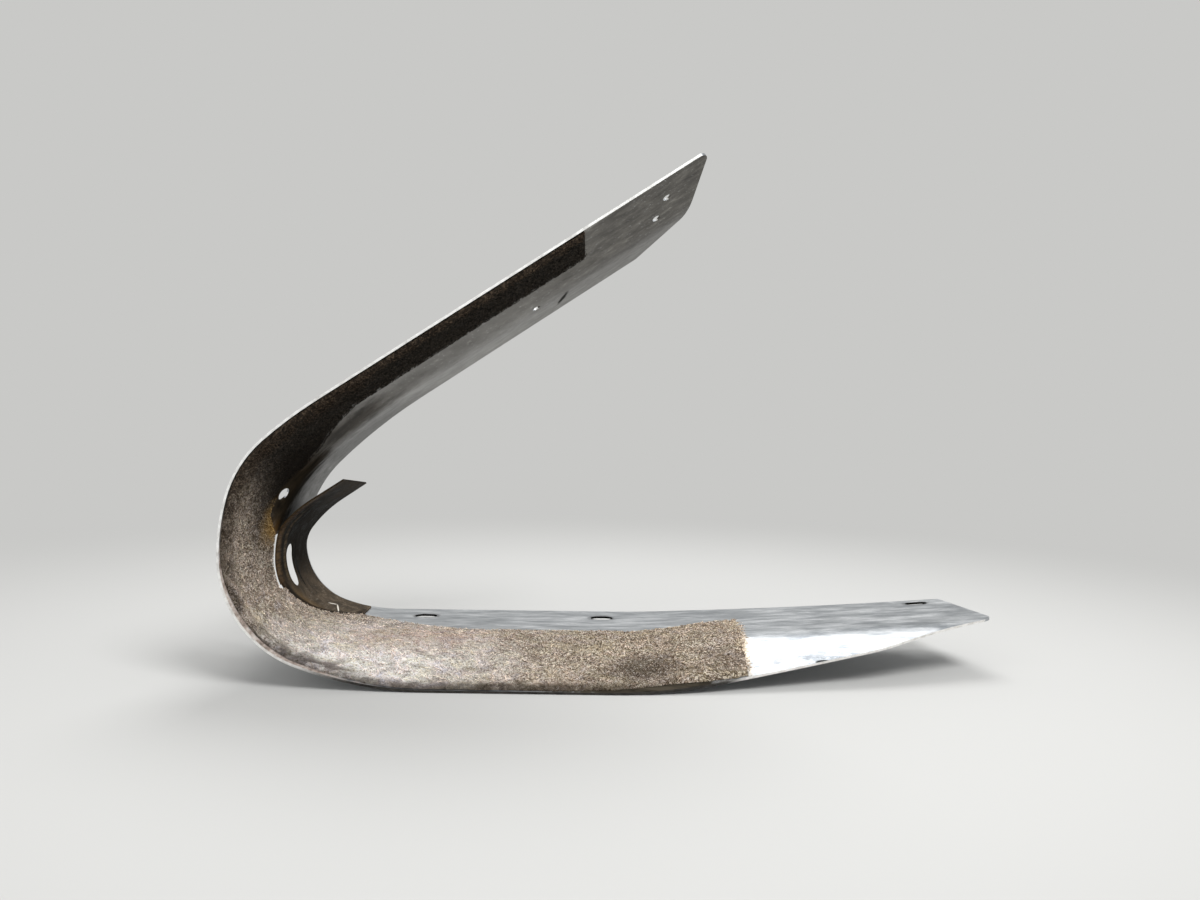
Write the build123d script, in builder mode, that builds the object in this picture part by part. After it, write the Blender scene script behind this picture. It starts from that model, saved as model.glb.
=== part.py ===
from build123d import *

import os
from math import atan, cos, radians, sin

# Fillet fairing: one sheet of aluminium, formed to a V that wraps a leading edge.
# X runs along the chord away from the nose, Y along the span away from the flared edge,
# and Z up from the inner face of the flat lower arm. All sizes are in millimetres.
# The pieces are drawn from the flared edge and then placed with the middle of the slot row,
# halfway through the sheet, at the origin.

# Sheet and layers
sheet = 0.8
felt_thickness = 1.5
doubler_thickness = 0.6
glue_line = 0.1

# Depth of the fairing along the span, and where the flare's bend starts and ends
depth = 80.0
bend_start = 38.0
bend_end = 24.0
bend_steps = 3

# Flat run of the lower arm, from its left end to its right end
flat_left = -86.0
flat_right = 5.0

# Line of the web round the nose, as radii and the turns that they make, from below to above
web_radii = [62.0, 26.0, 48.5, 47.5, 215.0]
web_turns = [20.0, 70.0, 14.0, 31.0, 11.4]

# Flared edge: its drop below the lower arm, where its bottom curve starts, and its nose
flare_drop = 12.4
edge_curve_start = -59.5
edge_radii = [139.0, 41.0, 79.0, 41.0, 149.0]
edge_turns = [20.0, 70.0, 14.0, 34.0, 8.8]

# Rise of the lower arm towards its tip
rise_radii = [500.0, 3000.0]
rise_turns = [2.2, 3.0]

# Upper arm: its slope, and a length that its trimmed end falls inside
upper_slope = 33.6
arm_length = 190.0

# Trim of the lower arm, seen in plan: long taper, tip and end
taper_start = (24.0, 0.0)
taper_bend = (104.0, 19.5)
lower_tip = (151.5, 38.0)
lower_end_x = 142.5
taper_start_radius = 180.0
taper_radius = 90.0
lower_tip_radius = 6.0

# Trim of the upper arm, measured along the arm from the point over the origin
upper_end_near = 128.5
upper_end_far = 93.0
upper_tip_radius = 3.0

# Holes for fasteners
slot_length = 9.0
slot_width = 6.4
slot_inset = 13.5
slot_row_y = depth - slot_inset
slot_row_x = [-71.3, 0.7]
tip_slot_inset = 6.5
tip_slot_place = (131.5, depth - tip_slot_inset)
tip_slot_width = 4.4
nose_hole = 5.2
nose_hole_depth = 28.0
nose_hole_slope = 61.0
screw_hole = 3.2
screw_places = [(108.7, 12.0), (102.5, 21.0), (47.3, 31.0)]

# Cut-out in the nose, and the window of the doubler over it, as ranges along Y and Z
cutout_y = (30.5, 64.0)
cutout_z = (13.0, 37.0)
window_y = (47.0, 56.0)
window_z = (14.5, 31.0)
corner_radius = 4.0

# Nose doubler: bonded below, sprung free above; its near side, far side and lower end
doubler_near_y = 34.0
doubler_inset = 3.0
doubler_far_y = depth - doubler_inset
doubler_end = (-96.0, 58.0)
doubler_shoulder = (-122.0, 35.0)
doubler_corner_radius = 6.0
bonded_height = 20.0
lift_near_turns = [20.0, 70.0, 8.0, 34.0, 15.0]
lift_far_turns = [20.0, 60.0, 1.0, 45.0, 20.0]
lift_radii = [14.0, 50.0]
free_run_near = 14.0
free_run_far = 12.0

# Felt chafe strip: setback from the rim, its ends, and the points of its edges: its inner edge
# in plan and from the side, and its near edge where it cuts across the start of the taper
felt_setback = 0.5
felt_lower_end = 53.0
felt_upper_end = -7.6
felt_clearance = 0.4
felt_edge_plan = [
    (53.0, 52.5),
    (39.5, 49.0),
    (29.9, 43.0),
    (14.0, 36.5),
    (-50.0, 36.5),
    (-66.0, 41.0),
    (-88.0, 54.5),
]
felt_edge_side = [
    (37.0, 30.0),
    (44.0, 24.0),
    (58.0, 24.0),
    (66.0, 25.5),
    (72.0, 23.0),
    (80.0, 18.0),
    (88.0, 14.0),
]
felt_near_edge = [(-20.0, 0.3), (6.0, 1.2), (14.0, 2.4), (24.0, 3.9), (38.0, 5.2), (56.0, 7.3)]

# Reach of the cuts past the metal, and past the far edge alone
reach = 30.0
overcut = 1.0

bend_slope = 1 / (bend_end + (bend_start - bend_end) / 2)
full_turn = 180.0
slope_x = cos(radians(upper_slope))
slope_z = sin(radians(upper_slope))
arm_plane = Plane(origin=(0, 0, 0), x_dir=(slope_x, 0, slope_z), z_dir=(-slope_z, 0, slope_x))


def between(first, second, share):
    """Value part of the way from the first to the second."""
    return first + (second - first) * share


def flare_share(y):
    """Share of the full flare at depth y: straight from the edge to the bend, then easing to none."""
    if y >= bend_start:
        return 0.0
    if y >= bend_end:
        return bend_slope * (bend_start - y) ** 2 / (2 * (bend_start - bend_end))
    return 1 - bend_slope * y


def lean_angle(y):
    """Angle between the sheet and the span at depth y, in radians."""
    share = min(1.0, max(0.0, (bend_start - y) / (bend_start - bend_end)))
    return atan(flare_drop * bend_slope * share)


def arcs_round(edge, radii, turns, outward):
    """Arcs round the nose that carry on from an edge; gives the last one."""
    for radius, turn in zip(radii, turns):
        edge = JernArc(edge @ 1, edge % 1, radius + outward, -turn)
    return edge


def skin_line(share, outward):
    """Line round the whole V, moved outward from the inner face; gives its two ends."""
    height = -flare_drop * share - outward
    corner = (flat_right, height)
    flat = Line(corner, (between(flat_left, edge_curve_start, share), height))
    radii = [between(web, edge, share) for web, edge in zip(web_radii, edge_radii)]
    turns = [between(web, edge, share) for web, edge in zip(web_turns, edge_turns)]
    nose = arcs_round(flat, radii, turns, outward)
    arm = Line(nose @ 1, nose @ 1 + (nose % 1) * arm_length)
    rise = JernArc(corner, (1, 0), rise_radii[0] + outward, rise_turns[0])
    tip = JernArc(rise @ 1, rise % 1, rise_radii[1] + outward, rise_turns[1])
    return arm @ 1, tip @ 1


def layer(y, inner, outer):
    """Closed section of a layer at depth y, between two distances outward from the inner face."""
    share = flare_share(y)
    factor = 1 / cos(lean_angle(y))
    with BuildSketch(Plane.XZ.offset(-y)) as section:
        with BuildLine():
            inner_arm, inner_tip = skin_line(share, inner * factor)
            outer_arm, outer_tip = skin_line(share, outer * factor)
            Line(inner_arm, outer_arm)
            Line(inner_tip, outer_tip)
        make_face()
    return section.sketch


def square_to_sheet(x, y, z, slope):
    """Plane at a point of the sheet, facing out of it, where the sheet leans back at that slope."""
    lean = lean_angle(y)
    out = (-sin(radians(slope)) * cos(lean), sin(lean), cos(radians(slope)) * cos(lean))
    return Plane(origin=(x, y, z), x_dir=(cos(radians(slope)), 0, sin(radians(slope))), z_dir=out)


def nose_place(y, slope):
    """Plane square to the sheet at depth y, where the nose has turned back to that slope."""
    turn = full_turn - slope - sum(web_turns[:3])
    share = flare_share(y)
    radii = [between(web, edge, share) for web, edge in zip(web_radii, edge_radii)][:4]
    turns = web_turns[:3] + [turn]
    height = -flare_drop * share
    with BuildLine() as line:
        flat = Line((flat_right, height), (between(flat_left, edge_curve_start, share), height))
        point = arcs_round(flat, radii, turns, 0) @ 1
    return square_to_sheet(point.X, y, point.Y, slope)


def arm_place(along, y):
    """Plane square to the upper arm at depth y, at a distance along the arm."""
    with BuildLine() as line:
        end = skin_line(flare_share(y), 0)[0]
    back = along - (end.X * slope_x + end.Y * slope_z)
    return square_to_sheet(end.X + back * slope_x, y, end.Y + back * slope_z, upper_slope)


def bend_sections(inner, outer):
    """Sections of a layer through the bend, from the flange to the web."""
    step = (bend_start - bend_end) / bend_steps
    return [layer(bend_end + step * index, inner, outer) for index in range(bend_steps + 1)]


def doubler_section(y, turns, free_run):
    """Section of the doubler at depth y: on the web below, then turning away from it."""
    radii = web_radii[:3] + lift_radii
    with BuildSketch(Plane.XZ.offset(-y)) as section:
        with BuildLine():
            ends = []
            for inward in (glue_line, glue_line + doubler_thickness):
                start = (flat_left + free_run, inward)
                flat = Line(start, (flat_left, inward))
                nose = arcs_round(flat, radii, turns, -inward)
                free = Line(nose @ 1, nose @ 1 + (nose % 1) * free_run)
                ends.append((start, free @ 1))
            Line(ends[0][0], ends[1][0])
            Line(ends[0][1], ends[1][1])
        make_face()
    return section.sketch


def window(along_y, along_z):
    """Rounded rectangle over a range of Y and Z, just inside the nose and facing out of it."""
    middle_y = sum(along_y) / 2
    middle_z = sum(along_z) / 2
    place = Plane(origin=(flat_left - reach / 2, middle_y, middle_z), x_dir=(0, 1, 0), z_dir=(-1, 0, 0))
    with BuildSketch(place) as outline:
        RectangleRounded(along_y[1] - along_y[0], along_z[1] - along_z[0], corner_radius)
    return outline.sketch


def lower_arm_trim(setback):
    """Waste beyond the lower arm's trimmed outline in plan, with the outline moved back along Y."""
    right = lower_end_x + 2 * reach
    with BuildSketch(Plane.XY.offset(-reach)) as waste:
        with BuildLine():
            outline = FilletPolyline(
                (taper_start[0] - reach, setback),
                (taper_start[0], setback),
                (taper_bend[0], taper_bend[1] + setback),
                (lower_tip[0], lower_tip[1] + setback),
                (lower_end_x, depth + overcut),
                radius=[taper_start_radius, taper_radius, lower_tip_radius],
            )
            Polyline(
                outline @ 1,
                (right, depth + overcut),
                (right, -reach),
                (taper_start[0] - reach, -reach),
                outline @ 0,
            )
        make_face()
    return waste.sketch


# Aluminium skin: straight flange, smooth bend and flat web, then its trims and holes
with BuildPart() as fairing_skin:
    loft([layer(0, 0, sheet), layer(bend_end, 0, sheet)], ruled=True)
    loft(bend_sections(0, sheet))
    extrude(layer(bend_start, 0, sheet), amount=-(depth - bend_start))

    # lower arm trimmed in plan to a long taper and a rounded tip
    extrude(lower_arm_trim(0), amount=2 * reach, mode=Mode.SUBTRACT)

    # upper arm cut off on a slant
    with BuildSketch(arm_plane):
        with BuildLine():
            slant = FilletPolyline(
                (upper_end_near - reach, -overcut),
                (upper_end_near, 0),
                (upper_end_far, depth + overcut),
                radius=upper_tip_radius,
            )
            Polyline(
                slant @ 1,
                (upper_end_near + 3 * reach, depth + overcut),
                (upper_end_near + 3 * reach, -reach),
                (upper_end_near - reach, -reach),
                slant @ 0,
            )
        make_face()
    extrude(amount=arm_length, mode=Mode.SUBTRACT)

    # oblong holes along the lower arm
    with BuildSketch(Plane.XY.offset(-reach)):
        with Locations(*[(slot_x, slot_row_y) for slot_x in slot_row_x]):
            SlotOverall(slot_length, slot_width)
        with Locations(tip_slot_place):
            SlotOverall(slot_length, tip_slot_width)
    extrude(amount=2 * reach, mode=Mode.SUBTRACT)

    # screw holes in the upper arm and a larger one in the nose, square to the sheet
    with BuildSketch(*[arm_place(along, y) for along, y in screw_places]):
        Circle(screw_hole / 2)
    extrude(amount=reach / 2, both=True, mode=Mode.SUBTRACT)
    with BuildSketch(nose_place(nose_hole_depth, nose_hole_slope)):
        Circle(nose_hole / 2)
    extrude(amount=reach / 2, both=True, mode=Mode.SUBTRACT)

    # cut-out in the nose
    extrude(window(cutout_y, cutout_z), amount=reach, mode=Mode.SUBTRACT)
fairing_skin.part.label = "fairing_skin"

# Nose doubler: on the web below the nose, sprung free of it above, with a window in it
with BuildPart() as nose_doubler:
    loft(
        [
            doubler_section(doubler_near_y, lift_near_turns, free_run_near),
            doubler_section(doubler_far_y, lift_far_turns, free_run_far),
        ],
        ruled=True,
    )

    # near edge of its bonded part runs back to a narrow lower end
    with BuildSketch(Plane.XY.offset(bonded_height)):
        with BuildLine():
            near_edge = FilletPolyline(
                (doubler_shoulder[0], doubler_near_y - overcut),
                doubler_shoulder,
                doubler_end,
                (doubler_end[0], doubler_far_y),
                (doubler_end[0] - doubler_corner_radius, doubler_far_y + overcut),
                radius=[glue_line, doubler_corner_radius, doubler_thickness],
            )
            Polyline(
                near_edge @ 1,
                (doubler_end[0] + reach, doubler_far_y + overcut),
                (doubler_end[0] + reach, doubler_near_y - overcut),
                near_edge @ 0,
            )
        make_face()
    extrude(amount=-reach, mode=Mode.SUBTRACT)
    extrude(window(window_y, window_z), amount=reach, mode=Mode.SUBTRACT)
nose_doubler.part.label = "nose_doubler"

# Felt chafe strip: bonded inside the flare, trimmed to its inner edge and its two ends
felt_inner = -(glue_line + felt_thickness)
felt_outer = -glue_line
doubler_rise = (doubler_end[1] - doubler_shoulder[1]) / (doubler_end[0] - doubler_shoulder[0])
with BuildPart() as felt_chafe_strip:
    loft([layer(felt_setback, felt_inner, felt_outer), layer(bend_end, felt_inner, felt_outer)], ruled=True)
    loft(bend_sections(felt_inner, felt_outer))
    extrude(layer(bend_start, felt_inner, felt_outer), amount=-(depth - bend_start))

    # inner edge along the lower arm and up to the doubler, with the square lower end
    with BuildSketch(Plane.XY.offset(bonded_height)):
        with BuildLine():
            beside_end = doubler_end[1] - felt_clearance / cos(atan(doubler_rise))
            corner_x = doubler_shoulder[0] + felt_clearance
            Polyline(
                (felt_lower_end, -reach),
                *felt_edge_plan,
                (doubler_end[0], beside_end),
                (corner_x, beside_end - doubler_rise * (doubler_end[0] - corner_x)),
                (corner_x, doubler_near_y - felt_clearance),
                (doubler_shoulder[0] - 2 * corner_radius, cutout_y[0] - felt_clearance),
                (doubler_shoulder[0] - reach, cutout_y[0] - felt_clearance),
                (doubler_shoulder[0] - reach, depth + overcut),
                (lower_end_x + 3 * reach, depth + overcut),
                (lower_end_x + 3 * reach, -reach),
                close=True,
            )
        make_face()
    extrude(amount=-2 * reach, mode=Mode.SUBTRACT)

    # near edge set back along the taper of the lower arm, and straighter than the taper's start
    extrude(lower_arm_trim(felt_setback), amount=bonded_height + reach, mode=Mode.SUBTRACT)
    with BuildSketch(Plane.XY.offset(-reach)):
        with BuildLine():
            near_line = Spline(*felt_near_edge)
            Polyline(
                near_line @ 1,
                (felt_near_edge[-1][0], -reach),
                (felt_near_edge[0][0], -reach),
                near_line @ 0,
            )
        make_face()
    extrude(amount=bonded_height + reach, mode=Mode.SUBTRACT)

    # inner edge up the nose and along the upper arm
    with BuildSketch(Plane.YZ.offset(flat_left - 2 * reach)):
        with BuildLine():
            Polyline(
                (cutout_y[0] - felt_clearance, bonded_height),
                *[(y, z) for z, y in felt_edge_side],
                (felt_edge_side[-1][1], arm_length + reach),
                (depth + overcut, arm_length + reach),
                (depth + overcut, bonded_height),
                close=True,
            )
        make_face()
    extrude(amount=lower_end_x + 8 * reach, mode=Mode.SUBTRACT)

    # square upper end
    with BuildSketch(Plane.XZ.offset(reach)):
        with Locations((felt_upper_end, bonded_height)):
            Rectangle(arm_length * 2, arm_length * 2, align=Align.MIN)
    extrude(amount=-(depth + 2 * reach), mode=Mode.SUBTRACT)
felt_chafe_strip.part.label = "felt_chafe_strip"

# The middle of the slot row, halfway through the sheet, becomes the origin
middle_of_slots = (sum(slot_row_x) / len(slot_row_x), slot_row_y, -sheet / 2)
for piece in (fairing_skin, nose_doubler, felt_chafe_strip):
    piece.part.position -= Vector(middle_of_slots)

os.makedirs("parts", exist_ok=True)
export_step(fairing_skin.part, "parts/fairing_skin.step")
export_step(nose_doubler.part, "parts/nose_doubler.step")
export_step(felt_chafe_strip.part, "parts/felt_chafe_strip.step")
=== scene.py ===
import math

import bmesh
import bpy
import numpy as np
from mathutils import Matrix, Vector


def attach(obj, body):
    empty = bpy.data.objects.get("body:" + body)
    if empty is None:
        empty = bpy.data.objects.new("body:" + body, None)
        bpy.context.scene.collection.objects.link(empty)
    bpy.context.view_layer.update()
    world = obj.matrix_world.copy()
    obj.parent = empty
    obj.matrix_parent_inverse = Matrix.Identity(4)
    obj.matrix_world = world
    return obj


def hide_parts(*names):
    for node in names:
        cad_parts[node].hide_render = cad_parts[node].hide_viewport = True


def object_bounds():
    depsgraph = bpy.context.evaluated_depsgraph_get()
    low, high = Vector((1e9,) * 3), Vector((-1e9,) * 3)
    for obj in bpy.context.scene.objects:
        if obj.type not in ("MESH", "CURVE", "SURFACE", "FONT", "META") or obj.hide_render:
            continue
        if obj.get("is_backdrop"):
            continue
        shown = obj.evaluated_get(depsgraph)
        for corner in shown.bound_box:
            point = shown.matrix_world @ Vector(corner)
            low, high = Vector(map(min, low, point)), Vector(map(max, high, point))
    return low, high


bl_info = {
    "name": "Fillet Fairing",
    "version": (1, 0, 0),
    "blender": (4, 5, 0),
    "location": "3D View > Sidebar > Fairing",
    "description": "Dresses a formed sheet fairing with its felt strip and nose doubler",
    "category": "Object",
}

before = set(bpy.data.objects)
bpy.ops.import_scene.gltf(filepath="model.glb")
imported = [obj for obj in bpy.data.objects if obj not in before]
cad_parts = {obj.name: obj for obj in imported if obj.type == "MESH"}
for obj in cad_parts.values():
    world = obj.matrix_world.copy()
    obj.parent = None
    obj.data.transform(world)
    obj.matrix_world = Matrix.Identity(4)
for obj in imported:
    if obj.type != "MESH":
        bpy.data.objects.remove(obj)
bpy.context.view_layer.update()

MM = 0.001
SEED = 11

# Where the drawing's zero, on the flared edge over the slope's foot, lies in the row frame (mm)
DRAWN_ZERO = np.array([35.3, -66.5, 0.4])

# Lines of the sheet, in millimetres and degrees, as the CAD model draws them
FLAT_LEFT = -86.0
FLAT_RIGHT = 5.0
DEPTH_BEND_START = 38.0
DEPTH_BEND_END = 24.0
FLARE_DROP = 12.4
EDGE_CURVE_START = -59.5
WEB_RADII = (62.0, 26.0, 48.5, 47.5, 215.0)
WEB_TURNS = (20.0, 70.0, 14.0, 31.0, 11.4)
EDGE_RADII = (139.0, 41.0, 79.0, 41.0, 149.0)
EDGE_TURNS = (20.0, 70.0, 14.0, 34.0, 8.8)
RISE_RADII = (500.0, 3000.0)
RISE_TURN = 2.2
ARM_TURN = 33.6
ARM_RUN = 7
ARM_UNIT = 100
BEND_SLOPE = 1 / (DEPTH_BEND_END + (DEPTH_BEND_START - DEPTH_BEND_END) / 2)

# The strip's inner edge: in plan on the lower arm, then by height up the nose and the upper arm
FELT_PLAN_X = (-121.6, -121.6, -96.0, -88.0, -66.0, -50.0, 14.0, 29.9, 39.5, 53.0)
FELT_PLAN_Y = (33.6, 34.5, 57.4, 54.5, 41.0, 36.5, 36.5, 43.0, 49.0, 52.5)
FELT_SIDE_Z = (20.0, 37.0, 46.0, 58.0, 64.0, 72.0, 80.0, 88.0)
FELT_SIDE_Y = (30.1, 30.0, 22.8, 22.8, 24.7, 23.0, 18.0, 14.0)
FELT_LOWER_END = 53.0
FELT_UPPER_END = -7.6
FELT_SETBACK = 0.5
FELT_NEAR_X = (-20.0, 6.0, 14.0, 24.0, 38.0, 56.0)
FELT_NEAR_Y = (0.3, 1.2, 2.4, 3.9, 5.2, 7.3)
GLUE_LINE = 0.1

# The slope that tapers the rim of the lower arm to its point, and the length it eases in over
TAPER_START = 24.0
TAPER_SLOPE = 19.5 / 80
TAPER_EASE = 21.6

# How the strip's line is sampled: its last run number, the depths where its length and its near
# edge are read, the run where the taper ends, and the range of depths that its inner edge lies in
LAST_RUN = 8.6
RUN_SAMPLES = 4000
RUN_DEPTH = 10.0
NEAR_DEPTH = 6.0
TAPER_RUN = 1.8
INNER_DEPTHS = (2.0, 70.0)
HALVINGS = 30

# The felt's grid: the step between its rows, its columns across, and the points up each side
FELT_STEP = 0.8
FELT_COLUMNS = 60
SIDE_POINTS = 5

# The pile: how far it sinks below the full thickness, the height and the size of each of its
# noises, the width over which its edges round off, and the share of the height lost there
PILE_SINK = 0.15
PILE_NOISE = ((0.14, 2.6), (0.12, 1.1), (0.1, 7.0))
ROUNDING = 0.8
ROUNDED_SHARE = 0.85

# Loose strands: their number and points, the shares that start at the inner edge and at the
# lower end, and the ranges of their length, rise and radius in millimetres
STRAND_COUNT = 9500
STRAND_POINTS = 4
SHARE_AT_EDGE = 0.2
SHARE_AT_END = 0.03
STRAND_LENGTH = (1.2, 3.4)
STRAND_RISE = (0.05, 0.4)
STRAND_RADIUS = (0.06, 0.17)

# The glue bead: the step between its rows, the corners of its arc, and its mean and range of size
GLUE_STEP = 0.5
GLUE_CORNERS = 7
GLUE_MEAN = 0.22
GLUE_SIZES = (0.01, 0.6)

# The rim is barer at the lower nose: extra setback, and the height and span where it shows
RIM_BARE = 1.9
RIM_BARE_HEIGHT = 10.0
RIM_BARE_SPAN = 15.0

# A point between the arms, in metres in the row frame, that the sheet's inner face turns to
BETWEEN_ARMS = (-0.025, 0.0, 0.045)

# Middles of the screw slots, the reach of the dark ring round each (fretting wear and painted
# shade), and of the slot itself.
# All walls of the slots lie below the slots' top
SLOTS = ((-71.3, 66.5, 0.0), (0.7, 66.5, 0.0), (131.5, 73.5, 9.0))
SLOT_WEAR_AND_SHADE = ((5.5, 4.3, 3.0), (5.5, 4.3, 3.0), (5.4, 3.2, 9.0))
SLOT_REACH = (4.7, 3.4)
SLOT_TOP = 15.0

# A face of the skin is a cut edge if its normal's share along the span is over the first, and a
# slot's wall if its normal's share upward is under the second
CUT_NORMAL = 0.9
WALL_NORMAL = 0.5

# How the CAD meshes are dressed: points nearer than this (m) are one, and sharper corners stay
MERGE_DISTANCE = 0.00001
CORNER_ANGLE = 30.0

# How far a noise moves a stain's border, as a share of the stain's radius
RAGGED_REACH = 1.6

# The felt's brightness that its tints take is given back, and loose fibres are brightened as a
# painted highlight, where they catch more light
SHADE_GAIN = (1.12, 1.12, 1.12)
STRAND_HIGHLIGHT_GAIN = (1.5, 1.47, 1.42)

# The stage in metres and watts: half of the floor's side, where its own colour fades in, each
# lamp's place, size and power, and the point they all face
FLOOR_HALF = 6.0
FLOOR_FADE = (0.16, 0.5)
LAMPS = (
    ("key", (0.5, -0.7, 0.9), 0.5, 10.0),
    ("fill", (-0.75, -0.8, 0.6), 0.9, 2.0),
    ("top", (0.15, 0.45, 1.0), 0.7, 5.6),
)
LAMPS_FACE = (0.04, -0.03, 0.06)

# The photograph's view, from the fit of the drawn rim, web and holes to it: the drawn place in
# millimetres, the slope of its horizon, the lens and the shift
CAMERA_PLACE = (-1.263, -385.0, 93.583)
CAMERA_ROLL = 0.0135
CAMERA_SENSOR = 36.0
CAMERA_LENS = 33.0
CAMERA_SHIFT = -60 / 1200
CAMERA_CLIP = (0.01, 20)

# Loose fibres are short by the nose's screw hole: its height, and the span where they are short
NOSE_HOLE_HEIGHT = 52.0
NOSE_HOLE_SPAN = 9.0


def linear(code):
    """Linear colour of an sRGB hex value such as "#8C7F70", with alpha 1."""
    parts = [int(code[i : i + 2], 16) / 255 for i in (1, 3, 5)]
    parts = [c / 12.92 if c <= 0.04045 else ((c + 0.055) / 1.055) ** 2.4 for c in parts]
    return (*parts, 1.0)


def add_node(tree, kind, settings=None, values=None, links=None):
    """Adds a node, sets its properties and socket values, and links sockets into it."""
    node = tree.nodes.new(kind)
    for key, value in (settings or {}).items():
        setattr(node, key, value)
    for key, value in (values or {}).items():
        node.inputs[key].default_value = value
    for key, socket in (links or {}).items():
        tree.links.new(socket, node.inputs[key])
    return node


def flare_share(y):
    """Share of the full flare at depth y: 1 less a straight slope, easing to 0 as a parabola."""
    eased = BEND_SLOPE * (DEPTH_BEND_START - y) ** 2 / (2 * (DEPTH_BEND_START - DEPTH_BEND_END))
    share = np.where(y < DEPTH_BEND_END, 1 - BEND_SLOPE * y, eased)
    return np.where(y >= DEPTH_BEND_START, 0.0, share)


def lean_factor(y):
    """1 / cos(lean), where lean is the sheet's angle to the span at depth y."""
    share = np.clip((DEPTH_BEND_START - y) / (DEPTH_BEND_START - DEPTH_BEND_END), 0, 1)
    return np.sqrt(1 + (FLARE_DROP * BEND_SLOPE * share) ** 2)


def sheet_point(t, y, inward):
    """Point of the sheet's line at depth y, moved inward from its inner face.

    t counts the runs: 0 to 1 is the lower arm's rise, where x falls evenly from the strip's end
    to the flat; 1 to 2 is the flat; 2 to 7 are the five arcs round the nose, each a circle about
    a centre on the heading's right; past 7 it is the straight upper arm, 100 mm for each unit.
    """
    t, y, inward = np.broadcast_arrays(*(np.asarray(value, float) for value in (t, y, inward)))
    share = flare_share(y)
    out = -inward * lean_factor(y)
    height = -FLARE_DROP * share - out

    first = RISE_RADII[0] + out
    second = RISE_RADII[1] + out
    turn = math.radians(RISE_TURN)
    rise_x = FELT_LOWER_END + (FLAT_RIGHT - FELT_LOWER_END) * np.clip(t, 0, 1)
    split_x = FLAT_RIGHT + first * math.sin(turn)
    near_z = first - np.sqrt(first**2 - np.minimum(rise_x - FLAT_RIGHT, split_x - FLAT_RIGHT) ** 2)
    split_z = first * (1 - math.cos(turn))
    centre_x = split_x - second * math.sin(turn)
    far_z = split_z + second * math.cos(turn) - np.sqrt(second**2 - (rise_x - centre_x) ** 2)
    x = rise_x
    z = height + np.where(rise_x > split_x, far_z, near_z)

    left = FLAT_LEFT + (EDGE_CURVE_START - FLAT_LEFT) * share
    on_flat = t > 1
    x = np.where(on_flat, FLAT_RIGHT + (left - FLAT_RIGHT) * np.clip(t - 1, 0, 1), x)
    z = np.where(on_flat, height, z)

    heading = np.full_like(share, math.pi)
    for index in range(5):
        radius = WEB_RADII[index] + (EDGE_RADII[index] - WEB_RADII[index]) * share + out
        full = WEB_TURNS[index] + (EDGE_TURNS[index] - WEB_TURNS[index]) * share
        after = heading - np.radians(full) * np.clip(t - 2 - index, 0, 1)
        x = x + radius * (np.sin(heading) - np.sin(after))
        z = z - radius * (np.cos(heading) - np.cos(after))
        heading = after
    run = ARM_UNIT * np.clip(t - ARM_RUN, 0, None)
    return x + run * np.cos(heading), z + run * np.sin(heading)


def value_noise(u, v, size, seed):
    """Smooth noise from -1 to 1: random values on a square net of that size, blended by cubics."""
    table = np.random.default_rng(seed).uniform(-1, 1, (257, 257))
    a, b = u / size, v / size
    i, j = np.floor(a).astype(int), np.floor(b).astype(int)
    fa, fb = a - i, b - j
    fa, fb = fa * fa * (3 - 2 * fa), fb * fb * (3 - 2 * fb)
    i, j, i1, j1 = i % 256, j % 256, (i + 1) % 256, (j + 1) % 256
    low = table[i, j] * (1 - fa) + table[i1, j] * fa
    high = table[i, j1] * (1 - fa) + table[i1, j1] * fa
    return low * (1 - fb) + high * fb


def placed(x, y, z):
    """Drawn millimetres as metres in the row frame."""
    return (np.stack(np.broadcast_arrays(x, y, z), -1) + DRAWN_ZERO) * MM


def tube_mesh(name, points):
    """Closed mesh of quads over rings of points (rings, points, 3), with both ends filled."""
    rings, count = points.shape[:2]
    mesh = bpy.data.meshes.new(name)
    here = np.arange(rings * count).reshape(rings, count)
    bottom_rim_shade = np.roll(here, -1, 1)
    quads = np.stack([here[:-1], bottom_rim_shade[:-1], bottom_rim_shade[1:], here[1:]], -1).reshape(-1, 4)
    mesh.vertices.add(rings * count)
    mesh.vertices.foreach_set("co", points.reshape(-1).astype(np.float32))
    mesh.loops.add(quads.size)
    mesh.loops.foreach_set("vertex_index", quads.reshape(-1).astype(np.int32))
    mesh.polygons.add(len(quads))
    mesh.polygons.foreach_set("loop_start", (np.arange(len(quads)) * 4).astype(np.int32))
    mesh.update(calc_edges=True)
    mesh.polygons.foreach_set("use_smooth", np.ones(len(quads), bool))
    mesh.validate()
    work = bmesh.new()
    work.from_mesh(mesh)
    bmesh.ops.holes_fill(work, edges=[e for e in work.edges if e.is_boundary], sides=0)
    bmesh.ops.recalc_face_normals(work, faces=work.faces)
    work.to_mesh(mesh)
    work.free()
    return mesh


def finish_piece(name, mesh, material, replaced=()):
    """Links a mesh as a piece that rides on the root, with its material."""
    piece = bpy.data.objects.new(name, mesh)
    bpy.context.scene.collection.objects.link(piece)
    mesh.materials.clear()
    mesh.materials.append(material)
    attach(piece, "root")
    if replaced:
        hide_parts(*replaced)
    return piece


def merged_copy(node, name):
    """Copy of a CAD node's mesh with its doubles merged, smooth but for its corners."""
    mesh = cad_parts[node].data.copy()
    mesh.name = name
    if mesh.has_custom_normals:
        attribute = mesh.attributes.get("custom_normal")
        if attribute is not None:
            mesh.attributes.remove(attribute)
    work = bmesh.new()
    work.from_mesh(mesh)
    bmesh.ops.remove_doubles(work, verts=work.verts, dist=MERGE_DISTANCE)
    for face in work.faces:
        face.smooth = True
    corner = math.radians(CORNER_ANGLE)
    for edge in work.edges:
        edge.smooth = edge.is_manifold and edge.calc_face_angle(math.pi) < corner
    work.to_mesh(mesh)
    work.free()
    return mesh


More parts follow.
